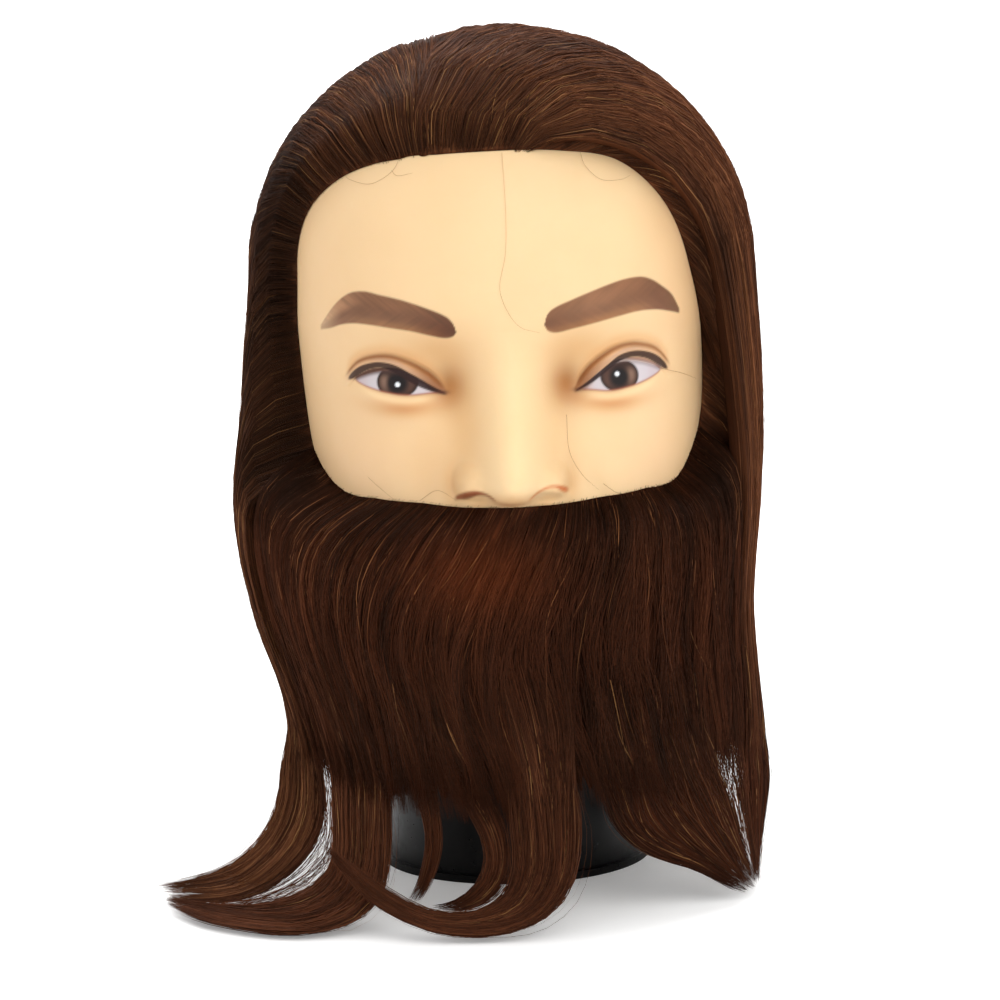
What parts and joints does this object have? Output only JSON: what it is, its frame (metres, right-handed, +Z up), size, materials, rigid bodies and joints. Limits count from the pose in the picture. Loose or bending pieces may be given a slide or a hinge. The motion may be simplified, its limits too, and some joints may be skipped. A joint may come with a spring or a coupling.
{
  "type": "mannequin training head",
  "caption": "Life-size vinyl training head with long rooted hair and a full rooted beard, standing on a black plastic neck base with a clamp socket.",
  "frame": {"origin": "centre of the base's underside, at the mouth of the clamp socket, on the table", "axes": "+Z up through the head's top, the face looks along -Y, +X is the viewer's right"},
  "size_m": [0.2163, 0.2455, 0.3008],
  "materials": {
    "vinyl_skin": "soft satin vinyl, pale warm skin tone with airbrushed shading",
    "face_paint": "painted brows and eyes",
    "scalp_hair": "long straight dark brown hair, soft sheen",
    "beard_hair": "long brown beard hair with a reddish cast",
    "black_plastic": "glossy injection-moulded black",
    "inner_plastic": "natural moulded plastic",
    "foam": "rigid foam filling",
    "glue": "cured glue film",
    "screw_steel": "zinc plated"
  },
  "bodies": {
    "root": {"head_shell": "vinyl_skin", "foam_core": "foam", "scalp_root_glue": "glue", "beard_root_glue": "glue", "neck_base": "black_plastic", "clamp_socket": "black_plastic", "neck_insert": "inner_plastic", "base_screws": "screw_steel", "hair_top_left": "scalp_hair", "hair_top_right": "scalp_hair", "hair_crown": "scalp_hair", "hair_temple_left": "scalp_hair", "hair_temple_right": "scalp_hair", "hair_side_left": "scalp_hair", "hair_side_right": "scalp_hair", "hair_back": "scalp_hair", "hair_nape": "scalp_hair", "beard_moustache": "beard_hair", "beard_cheek_left": "beard_hair", "beard_cheek_right": "beard_hair", "beard_chin": "beard_hair", "beard_fringe": "beard_hair", "lock_sweep_left": "scalp_hair", "lock_curl_front": "beard_hair", "lock_curl_right": "scalp_hair"}
  },
  "joints": []
}
